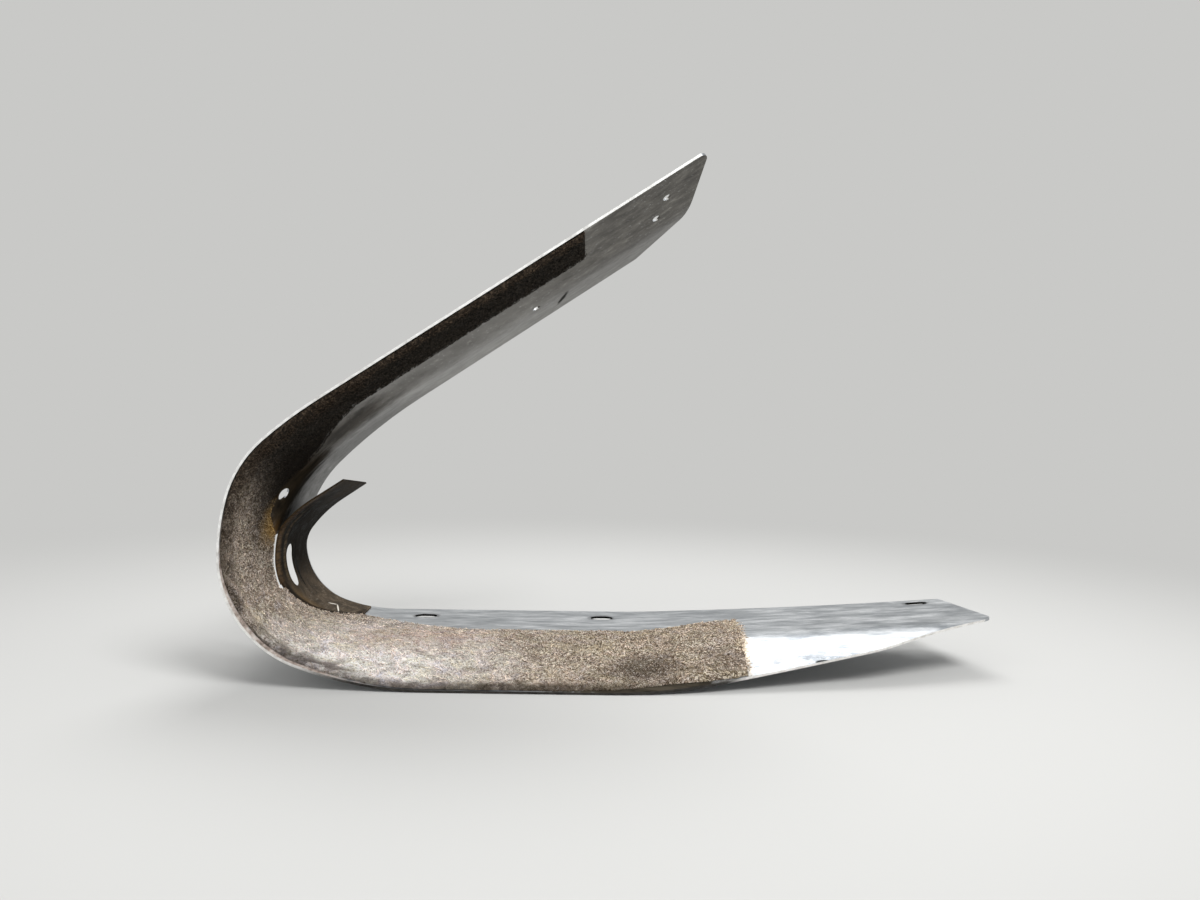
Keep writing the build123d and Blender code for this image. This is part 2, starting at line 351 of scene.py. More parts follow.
def new_material(name):
    """Material with only a Principled shader, its node tree and that shader."""
    material = bpy.data.materials.new(name)
    material.use_nodes = True
    return material, material.node_tree, material.node_tree.nodes["Principled BSDF"]


def set_shader(shader, settings):
    """Sets sockets of the shader: a number or a colour as it is, a node's output by a link."""
    for key, value in settings.items():
        if isinstance(value, bpy.types.NodeSocket):
            shader.id_data.links.new(value, shader.inputs[key])
        else:
            shader.inputs[key].default_value = value


def object_place(tree):
    """The place on the piece, in metres in the row frame."""
    return add_node(tree, "ShaderNodeTexCoord").outputs["Object"]


def mapped(tree, place, turns, scale):
    """The place turned about X, Y and Z by degrees, and then scaled along them."""
    rotation = [math.radians(turn) for turn in turns]
    turned = add_node(
        tree, "ShaderNodeMapping", values={"Rotation": rotation}, links={"Vector": place}
    )
    return add_node(
        tree, "ShaderNodeMapping", values={"Scale": scale}, links={"Vector": turned.outputs[0]}
    ).outputs[0]


def noise(tree, place, size, stretch=(1, 1, 1), turn=0.0, detail=5.0, rough=0.6, distort=0.0):
    """Noise in lumps of about size millimetres, longer by stretch, turned about Y by degrees."""
    scale = [0.5 / (size * MM * factor) for factor in stretch]
    return add_node(
        tree, "ShaderNodeTexNoise",
        values={"Scale": 1.0, "Detail": detail, "Roughness": rough, "Distortion": distort},
        links={"Vector": mapped(tree, place, (0, turn, 0), scale)},
    ).outputs["Fac"]


def ramp(tree, factor, *stops):
    """Colour ramp through (position, hex) stops."""
    node = add_node(tree, "ShaderNodeValToRGB", links={"Fac": factor})
    elements = node.color_ramp.elements
    while len(elements) < len(stops):
        elements.new(0.5)
    for element, (position, code) in zip(elements, stops):
        element.position = position
        element.color = linear(code)
    return node.outputs[0]


def spread(tree, value, low, high, to_low=0.0, to_high=1.0):
    """Value brought from low..high to another range by a smooth step, clamped."""
    node = add_node(
        tree, "ShaderNodeMapRange", {"interpolation_type": "SMOOTHSTEP"},
        {"From Min": low, "From Max": high, "To Min": to_low, "To Max": to_high}, {"Value": value},
    )
    return node.outputs[0]


def combine(tree, operation, first, second):
    """Two values put together and held between 0 and 1, unless one is taken from the other."""
    clamp = operation != "SUBTRACT"
    node = add_node(tree, "ShaderNodeMath", {"operation": operation, "use_clamp": clamp})
    for socket, value in zip(node.inputs, (first, second)):
        if isinstance(value, (int, float)):
            socket.default_value = value
        else:
            tree.links.new(value, socket)
    return node.outputs[0]


def times(tree, first, second):
    """Product of two values, held between 0 and 1."""
    return combine(tree, "MULTIPLY", first, second)


def larger(tree, first, second):
    """The larger of two values, held between 0 and 1."""
    return combine(tree, "MAXIMUM", first, second)


def vector_math(tree, operation, first, second=None):
    """Outputs of an operation on vectors; a plain vector is set on its socket."""
    node = add_node(tree, "ShaderNodeVectorMath", {"operation": operation})
    for socket, value in zip(node.inputs, (first, second)):
        if isinstance(value, (tuple, list)):
            socket.default_value = value
        elif value is not None:
            tree.links.new(value, socket)
    return node.outputs


def patch(tree, place, centre, radii, ragged, soft=0.35, turn=0.0, skew=0.0):
    """Mask of a stain: 1 inside an ellipsoid about a drawn point, ragged by a noise, 0 outside it.

    The ellipsoid is turned about Y by turn degrees, and then about its own third axis by skew.
    """
    middle = [(c + d) * MM for c, d in zip(centre, DRAWN_ZERO)]
    away = vector_math(tree, "SUBTRACT", place, middle)[0]
    scaled = mapped(tree, away, (0, turn, skew), [1 / (r * MM) for r in radii])
    far = vector_math(tree, "LENGTH", scaled)["Value"]
    lifted = add_node(
        tree, "ShaderNodeMath", {"operation": "MULTIPLY_ADD"},
        {1: RAGGED_REACH, 2: -RAGGED_REACH / 2},
    )
    if isinstance(ragged, float):
        lifted.inputs[0].default_value = ragged
    else:
        tree.links.new(ragged, lifted.inputs[0])
    edge = add_node(
        tree, "ShaderNodeMath", {"operation": "ADD"}, links={0: far, 1: lifted.outputs[0]}
    )
    return spread(tree, edge.outputs[0], 1 - soft, 1 + soft, 1.0, 0.0)


def mixed(tree, factor, under, over):
    """Colour under covered by colour over where the factor is 1; a hex code is a plain colour."""
    node = add_node(tree, "ShaderNodeMix", {"data_type": "RGBA"})
    sockets = [socket for socket in node.inputs if socket.type == "RGBA"]
    for socket, value in zip([node.inputs[0], *sockets], (factor, under, over)):
        if isinstance(value, str):
            socket.default_value = linear(value)
        elif isinstance(value, (int, float, tuple)):
            socket.default_value = value
        else:
            tree.links.new(value, socket)
    return [socket for socket in node.outputs if socket.type == "RGBA"][0]


def stained(tree, tone, mask, share, over):
    """Colour tone covered by colour over, to that share, where the mask is 1."""
    return mixed(tree, times(tree, mask, share), tone, over)


def add_bump(tree, shader, height, strength, distance):
    """Bumps the shader's surface by a height, as deep as distance in metres."""
    bump = add_node(
        tree, "ShaderNodeBump", values={"Strength": strength, "Distance": distance},
        links={"Height": height},
    )
    tree.links.new(bump.outputs[0], shader.inputs["Normal"])


def skin_metal():
    """Bare rolled aluminium sheet: dull silver, smeared along the arm, glue and residue at the
    nose, with painted shade and a painted highlight on its inner face.
    """
    looks = bpy.context.scene.fairing_looks
    material, tree, shader = new_material("rolled_aluminium_sheet")
    place = object_place(tree)
    # smears are a few millimetres wide and run along the chord, where hands and cloths wiped it
    smear = noise(tree, place, 1.7, (5, 1.4, 1), detail=8, rough=0.72, distort=0.12)
    wipe = noise(tree, place, 1.1, (12, 1, 1), rough=0.7)
    fine = noise(tree, place, 0.35, (30, 1, 1), detail=3)
    cloud = noise(tree, place, 12.0)
    tone = ramp(
        tree, smear, (0.36, "#8D9298"), (0.45, "#A7ABAF"), (0.54, "#BBBEC1"), (0.64, "#D0D2D4")
    )
    tone = mixed(tree, spread(tree, wipe, 0.5, 0.72, 0, 0.55), tone, "#84898F")
    plain = mixed(tree, 0.6, tone, "#ABAEB2")
    split = add_node(tree, "ShaderNodeSeparateXYZ", links={"Vector": place})
    # painted shade: the upper arm's inner face is darker grey than the lower arm, where it turns
    # away from the lamps; it is darker still towards its tip, and its scuffs are wear
    arm = spread(tree, split.outputs["Z"], 0.02, 0.055)
    scuff = noise(tree, place, 1.6, (3, 1, 1), turn=ARM_TURN, detail=6, rough=0.75)
    arm_scuffs_and_shade = ramp(tree, cloud, (0.3, "#65635F"), (0.5, "#7A7874"), (0.75, "#8D8B87"))
    arm_scuffs_and_shade = mixed(tree, spread(tree, scuff, 0.6, 0.72, 0, 0.6), arm_scuffs_and_shade, "#B5B3AE")
    arm_scuffs_and_shade = mixed(tree, spread(tree, scuff, 0.42, 0.3, 0, 0.5), arm_scuffs_and_shade, "#5E5C58")
    tip = combine(tree, "ADD", split.outputs["X"], times(tree, cloud, 0.03))
    tip = spread(tree, tip, -0.01, 0.06)
    arm_scuffs_and_shade = stained(tree, arm_scuffs_and_shade, tip, 0.95, ramp(
        tree, scuff, (0.3, "#413E3B"), (0.5, "#5D5A55"), (0.62, "#716E68"), (0.74, "#94918B")
    ))
    # painted shade: the upper arm by the nose is darkened further and made less metallic, where it
    # turns away from the light
    painted_arm_shade = patch(tree, place, (-104, 64, 74), (44, 30, 36), cloud, 0.7)
    arm_scuffs_and_shade = stained(tree, arm_scuffs_and_shade, painted_arm_shade, 0.8, "#3F3E3B")
    tone = mixed(tree, arm, tone, arm_scuffs_and_shade)
    tone = stained(tree, tone, spread(tree, fine, 0.62, 0.7), 0.35, "#D8D9DA")

    ragged = noise(tree, place, 1.4, (6, 2, 1), turn=45, detail=7, rough=0.7)
    # near black high in the nose and along the upper arm's felt edge: residue, deepened by painted
    # shade
    residue_and_shade = patch(tree, place, (-123, 32, 56), (26, 14, 28), ragged, 0.5)
    drag = patch(tree, place, (-98, 28, 80), (30, 9, 7), ragged, 0.6, turn=ARM_TURN)
    nose_grime_and_shade = larger(tree, residue_and_shade, times(tree, drag, 0.75))
    tone = mixed(tree, nose_grime_and_shade, tone, ramp(tree, ragged, (0.35, "#14110D"), (0.7, "#3A3125")))
    amber = patch(tree, place, (-125, 29, 38), (20, 5.0, 4.0), ragged, 0.9)
    tone = stained(tree, tone, amber, 0.5, "#6A4E28")
    spot = patch(
        tree, place, (-16.4, 48, 129.2), (1.6, 12, 5.0), ragged, 0.3, turn=ARM_TURN, skew=-11
    )
    tone = stained(tree, tone, spot, 0.92, "#1D1B19")
    # a ring round each slot: fretting wear, darkened further as painted shade round the hole
    for middle, radii in zip(SLOTS, SLOT_WEAR_AND_SHADE):
        fret_and_shade = patch(tree, place, middle, radii, ragged, 0.2)
        tone = stained(tree, tone, fret_and_shade, 0.75, "#4B4C4F")
    tan = patch(tree, place, (53.6, 30, -4), (1.6, 24, 9), ragged, 0.6)
    tone = stained(tree, tone, tan, 0.7, "#C9B79B")
    # painted shade: a dark band on the flare at the foot of the lower arm's rim, where the sheet
    # meets the floor
    bottom_rim_shade = patch(tree, place, (14, 3.5, -11), (44, 8.0, 6), ragged, 0.4)
    tone = mixed(tree, bottom_rim_shade, tone, ramp(tree, smear, (0.35, "#1B1813"), (0.65, "#4A443A")))
    # painted highlight: the bare strip along the lower nose's rim is pinkish white and half matt,
    # as if catching the light
    rim = patch(tree, place, (-124, 0, 6), (44, 2.8, 36), ragged, 0.3)
    tone = stained(tree, tone, rim, 0.9, ramp(
        tree, ragged, (0.34, "#6B5C52"), (0.48, "#A39388"), (0.64, "#D6CCC4")
    ))
    # the soil, the painted shade and the painted highlight also dull the metal: less metallic and
    # rougher
    dirt_and_painted_light = larger(tree, larger(tree, nose_grime_and_shade, spot), larger(tree, bottom_rim_shade, times(tree, rim, 0.9)))
    dirt_and_painted_light = larger(tree, dirt_and_painted_light, times(tree, painted_arm_shade, 0.5))
    smudge = patch(tree, place, (88, 11, -2), (44, 9, 9), smear, 0.6)
    blot = noise(tree, place, 1.8, (2, 1, 1), detail=8, rough=0.8)
    blots = times(tree, smudge, spread(tree, blot, 0.4, 0.62))
    tone = stained(tree, tone, blots, 0.85, "#5C6166")
    # painted shade: a nick in the lower arm's rim, drawn only as a near-black mark
    notch_shade = patch(tree, place, (81, 13.6, -3.9), (2.6, 1.2, 2), smear, 0.3)
    tone = mixed(tree, notch_shade, tone, "#17191B")
    # the soil, the painted shade and the painted highlight lie on the face that turns to a point
    # between the arms; the other face is clean
    to_middle = vector_math(tree, "SUBTRACT", BETWEEN_ARMS, place)[0]
    in_section = vector_math(tree, "MULTIPLY", to_middle, (1.0, 0.0, 1.0))[0]
    normal = add_node(tree, "ShaderNodeTexCoord").outputs["Normal"]
    facing = vector_math(tree, "DOT_PRODUCT", in_section, normal)["Value"]
    inner_face = combine(tree, "GREATER_THAN", facing, 0.0)
    dirt_and_painted_light = times(tree, dirt_and_painted_light, inner_face)
    dull = add_node(
        tree, "ShaderNodeMapRange",
        values={"From Min": 0.3, "From Max": 0.7, "To Min": looks.metal_roughness - 0.08,
                "To Max": looks.metal_roughness + 0.12},
        links={"Value": smear},
    ).outputs[0]
    set_shader(shader, {
        "Base Color": mixed(tree, inner_face, plain, tone),
        "Metallic": combine(tree, "SUBTRACT", 1.0, dirt_and_painted_light),
        "IOR": 1.12,
        "Roughness": larger(tree, dull, times(tree, dirt_and_painted_light, 0.75)),
    })
    lumps = combine(tree, "ADD", times(tree, cloud, 0.8), times(tree, fine, 0.1))
    add_bump(tree, shader, lumps, strength=0.25, distance=0.0004)
    return material


def sheared_edge():
    """Sheared aluminium: the cut through the sheet's thickness, bright and coarse, and near black
    along the bottom by painted shade.
    """
    material, tree, shader = new_material("sheared_aluminium_edge")
    place = object_place(tree)
    nicks = noise(tree, place, 1.2, detail=4)
    along, _, height = add_node(tree, "ShaderNodeSeparateXYZ", links={"Vector": place}).outputs
    tone = ramp(tree, nicks, (0.3, "#C9C8C5"), (0.6, "#EEEEEC"))
    tone = mixed(tree, spread(tree, height, 0.004, 0.045, 0.2, 0.0), tone, "#A0917F")
    # painted shade: the cut edge is near black along the bottom, where it sits in shade against the
    # floor
    low = spread(tree, combine(tree, "ADD", height, 0.02), 0.010, 0.018, 0.97, 0.0)
    under = times(tree, low, spread(tree, along, 0.080, 0.090, 1.0, 0.0))
    tone = mixed(tree, under, tone, ramp(tree, nicks, (0.35, "#0E0C0A"), (0.6, "#2A2723")))
    set_shader(shader, {"Base Color": tone, "Metallic": 0.2, "IOR": 1.2, "Roughness": 0.45})
    return material


def slot_wall_shade():
    """Painted shade on the walls of the screw slots: matt and near black."""
    material, _, shader = new_material("painted_slot_wall_shade")
    set_shader(shader, {"Base Color": linear("#12110F"), "Roughness": 0.95, "IOR": 1.1})
    return material


def doubler_metal():
    """Thin strap under olive-brown primer, soaked with old glue: dark, dull and blotched, with
    painted shade darkening it upward and along its near edge.
    """
    material, tree, shader = new_material("primed_strap")
    place = object_place(tree)
    blotch = noise(tree, place, 2.4, detail=7, rough=0.75, distort=0.8)
    grain = noise(tree, place, 0.4, (1, 8, 1), detail=3)
    tone = ramp(
        tree, blotch, (0.3, "#1C1813"), (0.45, "#40382E"), (0.58, "#5D5245"), (0.72, "#7E7264")
    )
    tone = mixed(tree, spread(tree, grain, 0.6, 0.72, 0, 0.35), tone, "#857D6E")
    height = add_node(tree, "ShaderNodeSeparateXYZ", links={"Vector": place}).outputs["Z"]
    # painted shade: the strap darkens to near black with height up the nose, and less so again at
    # its top end
    uneven = combine(tree, "ADD", height, times(tree, blotch, 0.012))
    shade_eased_at_top = spread(tree, uneven, 0.049, 0.062, 1, 0.7)
    shade_upward = times(tree, spread(tree, uneven, 0.014, 0.032, 0, 0.98), shade_eased_at_top)
    tone = mixed(tree, shade_upward, tone, ramp(
        tree, blotch, (0.35, "#0B0906"), (0.6, "#19140E"), (0.75, "#352C20")
    ))
    shadow = patch(tree, place, (-114, 46, 46), (13, 8, 13), blotch, 0.8)
    tone = stained(tree, tone, shadow, 0.85, "#0A0806")
    edge = patch(tree, place, (-122, 35.8, 24), (26, 3.0, 30), blotch, 0.8)
    broken = spread(tree, grain, 0.38, 0.6, 0.25, 0.85)
    tone = stained(tree, tone, edge, broken, "#5E4A33")
    streak = patch(tree, place, (-121, 44.5, 30), (20, 1.6, 16), blotch, 0.8)
    tone = mixed(tree, times(tree, streak, times(tree, broken, 0.6)), tone, "#6B5B43")
    stain = patch(tree, place, (-112, 44, 4), (14, 6, 9), blotch, 0.7)
    tone = stained(tree, tone, stain, 0.5, "#7B5F38")
    # painted shade: a dark gap along its near edge, which runs back in plan at 41 degrees to the
    # chord
    from_line = vector_math(tree, "DOT_PRODUCT", place, (-0.663, 0.749, 0.0))["Value"]
    from_line = combine(tree, "ADD", from_line, times(tree, blotch, 0.002))
    low = spread(tree, height, 0.016, 0.022, 1.0, 0.0)
    gap = times(tree, spread(tree, from_line, 0.0375, 0.0395, 1.0, 0.0), low)
    tone = stained(tree, tone, gap, 0.9, "#15100A")
    frayed = patch(tree, place, (-97.3, 58, 0), (1.5, 12, 6), blotch, 0.6)
    tone = stained(tree, tone, frayed, 0.85, "#1E1812")
    crease = patch(tree, place, (-121, 58.5, 24), (20, 0.9, 12), grain, 0.3)
    tone = mixed(tree, crease, tone, "#0B0907")
    # one bright scratch that turns a corner: a short leg and a long one
    short_leg = patch(tree, place, (-108.9, 62.8, 1), (2.4, 0.4, 9), 0.5, 0.15, skew=-50)
    long_leg = patch(tree, place, (-106, 59.8, 1), (5.0, 0.35, 9), 0.5, 0.15, skew=74)
    tone = mixed(tree, larger(tree, short_leg, long_leg), tone, "#E4DED2")
    dull = spread(tree, blotch, 0.3, 0.7, 0.5, 0.8)
    set_shader(shader, {"Base Color": tone, "IOR": 1.1, "Roughness": dull})
    add_bump(tree, shader, blotch, strength=0.6, distance=0.0005)
    return material


def felt_tone(tree, place, looks):
    """Colour of the soiled felt: light strands on brown wool, a painted pool of light low on the
    nose, darker up the nose by residue and painted shade, and dark along the rim.
    """
    strands = noise(tree, place, 0.85, detail=3, rough=0.7, distort=3.0)
    flecks = noise(tree, place, 0.4, detail=2, rough=0.6, distort=1.5)
    mottle = noise(tree, place, 1.9, detail=6, rough=0.7)
    wash = noise(tree, place, 9.0, detail=4)
    split = add_node(tree, "ShaderNodeSeparateXYZ", links={"Vector": place})
    clean = tuple(looks.felt_colour) + (1.0,)
    wool = ramp(
        tree, strands, (0.38, "#3C3228"), (0.45, "#75685A"), (0.5, "#A09384"), (0.545, "#CEC4B8"),
        (0.6, "#FAF6F0"),
    )
    tone = mixed(tree, 0.25, wool, clean)
    tone = mixed(tree, spread(tree, mottle, 0.44, 0.66, 0.0, 0.55), tone, ramp(
        tree, strands, (0.39, "#2C241B"), (0.5, "#75685A"), (0.59, "#D2C7B9")
    ))
    washed = spread(tree, wash, 0.3, 0.6, 0.45, 0.85)
    brown = times(tree, spread(tree, split.outputs["X"], -0.03, 0.06), washed)
    tone = mixed(tree, brown, tone, ramp(
        tree, strands, (0.39, "#352B20"), (0.465, "#716350"), (0.53, "#A59682"), (0.6, "#EADFCE")
    ))
    # painted light: a pool of near white on the felt low on the nose and at the lower arm's start,
    # where the light falls on it
    painted_light_pool = patch(tree, place, (-84, 10, -7), (38, 30, 15), wash, 0.7)
    tone = stained(tree, tone, painted_light_pool, 0.9, ramp(
        tree, strands, (0.36, "#A09488"), (0.43, "#E0D8CF"), (0.5, "#FFFFFF")
    ))
    clump = noise(tree, place, 4.5, (1.5, 1, 1), detail=3, distort=1.2)
    tone = mixed(tree, spread(tree, clump, 0.53, 0.66, 0.0, 0.4), tone, "#5E5246")
    tone = mixed(tree, spread(tree, clump, 0.46, 0.34, 0.0, 0.3), tone, "#C9BCAE")
    # a rosy patch, a spot of grime and the darker lower end
    for centre, radii, share, over in (
        ((-70, 30, -3), (30, 9, 6), 0.45, "#A5836B"),
        ((17, 11, -9), (12, 8, 9), 0.75, "#3A3027"),
        ((47, 14, -7), (9, 8, 9), 0.35, "#51463B"),
    ):
        tone = stained(tree, tone, patch(tree, place, centre, radii, mottle, 0.7), share, over)
    # the wool is a mix of shades: greyish, rosy, plain and straw, in patches of a few millimetres
    shade = ramp(
        tree, noise(tree, place, 2.6, (1.6, 1, 1), detail=4, rough=0.7, distort=1.0),
        (0.37, "#ECEBF3"), (0.46, "#F9F1EE"), (0.54, "#F3F3F1"), (0.63, "#F6F3E8"),
    )
    tone = vector_math(tree, "MULTIPLY", tone, shade)[0]
    tone = vector_math(tree, "MULTIPLY", tone, SHADE_GAIN)[0]
    tone = mixed(tree, spread(tree, flecks, 0.58, 0.66, 0.0, 0.6), tone, "#EDE6DC")
    tone = mixed(tree, spread(tree, flecks, 0.42, 0.34, 0.0, 0.65), tone, "#372E25")

    # oil and residue darken the felt up the nose, deepened by painted shade: first along the rim
    # and then over the whole strip, to near black on the upper arm
    rise = combine(tree, "ADD", split.outputs["Z"], times(tree, mottle, 0.024))
    tone = mixed(tree, spread(tree, rise, 0.016, 0.056, 0, 0.6), tone, ramp(
        tree, strands, (0.38, "#2C241C"), (0.5, "#65594D"), (0.6, "#B9AEA1")
    ))
    inward = combine(tree, "SUBTRACT", split.outputs["Y"], DRAWN_ZERO[1] * MM)
    rise = combine(tree, "ADD", rise, times(tree, inward, 0.55))
    dark = spread(tree, rise, 0.056, 0.088, 0, 0.96)
    tone = mixed(tree, dark, tone, ramp(tree, strands, (0.36, "#080807"), (0.6, "#24211D")))
    # near-black patch high in the nose: residue, deepened by painted shade
    residue_and_shade = patch(tree, place, (-116, 25, 60), (32, 12, 26), mottle, 0.7)
    tone = stained(tree, tone, residue_and_shade, 0.9, "#14100C")
    amber = patch(tree, place, (-125, 27.5, 43), (20, 5.8, 7.5), mottle, 0.9)
    tone = stained(tree, tone, amber, 0.9, ramp(
        tree, strands, (0.38, "#54401F"), (0.5, "#937443"), (0.6, "#BFA26C")
    ))
    near = combine(tree, "SUBTRACT", split.outputs["Y"], times(tree, mottle, 0.005))
    near = combine(tree, "SUBTRACT", near, times(tree, strands, 0.008))
    rim = spread(tree, near, -0.0728, -0.0700, 0.85, 0.0)
    left = spread(tree, split.outputs["X"], -0.040, -0.058, 0.0, 0.8)
    left = times(tree, left, spread(tree, clump, 0.4, 0.56, 0.35, 1.0))
    rim = larger(tree, rim, times(tree, left, spread(tree, near, -0.0708, -0.0650, 1.0, 0.0)))
    tone = mixed(tree, rim, tone, ramp(
        tree, strands, (0.4, "#1A140E"), (0.5, "#2C231B"), (0.6, "#564A3E")
    ))
    return tone, strands, mottle


def felt_wool():
    """Pressed wool felt, soiled: matt, mottled, light where clean and brown where it is oily, with
    painted light and painted shade in its colour.
    """
    material, tree, shader = new_material("pressed_wool_felt")
    place = object_place(tree)
    tone, strands, mottle = felt_tone(tree, place, bpy.context.scene.fairing_looks)
    set_shader(shader, {"Base Color": tone, "Roughness": 0.95, "Specular IOR Level": 0.1})
    pile = combine(tree, "ADD", times(tree, strands, 0.7), times(tree, mottle, 0.3))
    add_bump(tree, shader, pile, strength=1.0, distance=0.0012)
    return material


def wool_strands():
    """Loose wool fibres of the same felt: the same soil, and half as bright again as a painted
    highlight.
    """
    material, tree, shader = new_material("loose_wool_fibre")
    place = object_place(tree)
    tone = felt_tone(tree, place, bpy.context.scene.fairing_looks)[0]
    bright = vector_math(tree, "MULTIPLY", tone, STRAND_HIGHLIGHT_GAIN)[0]
    set_shader(shader, {"Base Color": bright, "Roughness": 0.9, "Specular IOR Level": 0.1})
    return material


def dried_glue():
    """Dried contact cement: amber and glossy where it squeezed out of a joint."""
    material, tree, shader = new_material("dried_contact_cement")
    place = object_place(tree)
    lumps = noise(tree, place, 1.5)
    tone = ramp(tree, lumps, (0.3, "#4A3820"), (0.55, "#86704A"), (0.75, "#B9A888"))
    set_shader(shader, {"Base Color": tone, "Roughness": 0.35})
    return material


class FairingLooks(bpy.types.PropertyGroup):
    """Sizes and colours of the fairing's dressing that a user would change."""

    metal_roughness: bpy.props.FloatProperty(
        name="Metal roughness", description="How dull the bare sheet is", subtype="FACTOR",
        default=0.36, min=0, max=1,
    )
    felt_thickness: bpy.props.FloatProperty(
        name="Felt thickness", description="Thickness of the felt over its glue", default=0.0015,
        min=0.0005, max=0.004, unit="LENGTH",
    )
    felt_colour: bpy.props.FloatVectorProperty(
        name="Felt colour", description="Clean colour of the felt", subtype="COLOR", size=3,
        default=linear("#B3A898")[:3],
    )
    floor_colour: bpy.props.FloatVectorProperty(
        name="Floor colour", description="Colour of the plain floor and backdrop",
        subtype="COLOR", size=3, default=linear("#C9C9C7")[:3],
    )


class FAIRING_OT_skin(bpy.types.Operator):
    """Dress the formed aluminium skin"""

    bl_idname = "fairing.skin"
    bl_label = "Skin"

    def execute(self, context):
        mesh = merged_copy("fairing_skin", "formed_skin")
        finish_piece("formed_skin", mesh, skin_metal(), ["fairing_skin"])
        mesh.materials.append(sheared_edge())
        mesh.materials.append(slot_wall_shade())
        normal, centre = (np.zeros((len(mesh.polygons), 3), np.float32) for _ in range(2))
        mesh.polygons.foreach_get("normal", normal.reshape(-1))
        mesh.polygons.foreach_get("center", centre.reshape(-1))
        away = np.abs(centre[:, None] / MM - DRAWN_ZERO - np.array(SLOTS))[..., :2]
        # the second material is for faces that look along the span, the third, painted shade, for
        # the slots' walls
        cut = np.abs(normal[:, 1]) > CUT_NORMAL
        wall = (np.abs(normal[:, 2]) < WALL_NORMAL) & (centre[:, 2] < SLOT_TOP * MM)
        in_slot = np.all(away < SLOT_REACH, axis=2).any(1) & wall
        mesh.polygons.foreach_set("material_index", np.where(in_slot, 2, cut).astype(np.int32))
        return {"FINISHED"}


class FAIRING_OT_doubler(bpy.types.Operator):
    """Dress the sprung nose doubler"""

    bl_idname = "fairing.doubler"
    bl_label = "Nose doubler"

    def execute(self, context):
        mesh = merged_copy("nose_doubler", "sprung_doubler")
        finish_piece("sprung_doubler", mesh, doubler_metal(), ["nose_doubler"])
        return {"FINISHED"}


def felt_inner_edge(x, z):
    """Depth of the strip's inner edge at a place on the sheet: by x below the nose, else by z."""
    by_plan = np.interp(x, FELT_PLAN_X, FELT_PLAN_Y)
    by_side = np.interp(z, FELT_SIDE_Z, FELT_SIDE_Y)
    return np.where((z > FELT_SIDE_Z[0]) | (x < FELT_PLAN_X[0]), by_side, by_plan)


def felt_near_edge(x):
    """Depth of the strip's near edge: its own line, but never nearer than the setback from the rim.

    The rim goes from the flared edge to the taper's slope by a parabola.
    """
    past = np.clip(x - TAPER_START + TAPER_EASE, 0, None)
    eased = TAPER_SLOPE * past**2 / (4 * TAPER_EASE)
    rim = np.where(past > 2 * TAPER_EASE, TAPER_SLOPE * (x - TAPER_START), eased)
    return np.maximum(FELT_SETBACK + rim, np.interp(x, FELT_NEAR_X, FELT_NEAR_Y))


def strip_layout(step):
    """Rows a step apart along the strip: length so far, run number t, near edge and inner edge.

    The inner edge is found by halving the range of depths in which the sheet crosses its line.
    """
    fine_t = np.linspace(0, LAST_RUN, RUN_SAMPLES)
    x, z = sheet_point(fine_t, RUN_DEPTH, GLUE_LINE)
    keep = (fine_t < ARM_RUN) | (x < FELT_UPPER_END)
    fine_t, x, z = fine_t[keep], x[keep], z[keep]
    length = np.concatenate([[0], np.cumsum(np.hypot(np.diff(x), np.diff(z)))])
    run = np.linspace(0, length[-1], int(length[-1] / step))
    t = np.interp(run, length, fine_t)
    low, high = (np.full(len(t), depth) for depth in INNER_DEPTHS)
    for _ in range(HALVINGS):
        middle = (low + high) / 2
        x, z = sheet_point(t, middle, GLUE_LINE)
        below = middle < felt_inner_edge(x, z)
        low, high = np.where(below, middle, low), np.where(below, high, middle)
    edge_x, edge_z = sheet_point(t, NEAR_DEPTH, GLUE_LINE)
    bare = RIM_BARE * np.exp(-((edge_z - RIM_BARE_HEIGHT) / RIM_BARE_SPAN) ** 2)
    bare = bare * (edge_x < FLAT_LEFT)
    near = np.where(t < TAPER_RUN, felt_near_edge(edge_x), FELT_SETBACK) + bare
    return run, t, near, (low + high) / 2


def squared(t, depth):
    """Run number on the upper arm stretched, at each depth, so that the strip ends at one X."""
    start_x, _ = sheet_point(ARM_RUN, depth, GLUE_LINE)
    next_x, _ = sheet_point(ARM_RUN + 1, depth, GLUE_LINE)
    last = (FELT_UPPER_END - start_x) / (next_x - start_x)
    return np.where(t > ARM_RUN, ARM_RUN + (t - ARM_RUN) / (t.max() - ARM_RUN) * last, t)


